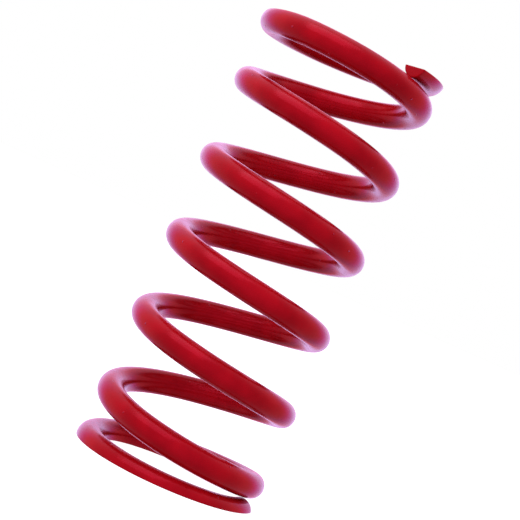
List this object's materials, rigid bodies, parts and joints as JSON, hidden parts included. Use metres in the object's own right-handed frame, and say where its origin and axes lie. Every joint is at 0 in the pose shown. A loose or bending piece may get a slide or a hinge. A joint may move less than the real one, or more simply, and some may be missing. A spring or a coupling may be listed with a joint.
{
  "type": "compression spring",
  "caption": "Left-hand coil compression spring of thick round wire, coated red, with closed and ground ends that press towards each other.",
  "frame": {"origin": "on the spring's axis, in the plane of the bottom ground face", "axes": "+Z along the spring's axis from the bottom ground face to the top one, +X towards the bottom tip of the wire"},
  "size_m": [0.0544, 0.0544, 0.1288],
  "materials": {
    "red_coating": "gloss powder coat"
  },
  "bodies": {
    "bottom": {"bottom_end_coil": "red_coating", "active_coils": "red_coating"},
    "top": {"top_end_coil": "red_coating"}
  },
  "joints": [
    {"name": "compression", "type": "slide", "parent": "bottom", "child": "top", "axis": [0, 0, 1], "range_m": [-0.07, 0], "stiffness_N_per_m": 45100, "deforming": ["active_coils"]}
  ]
}
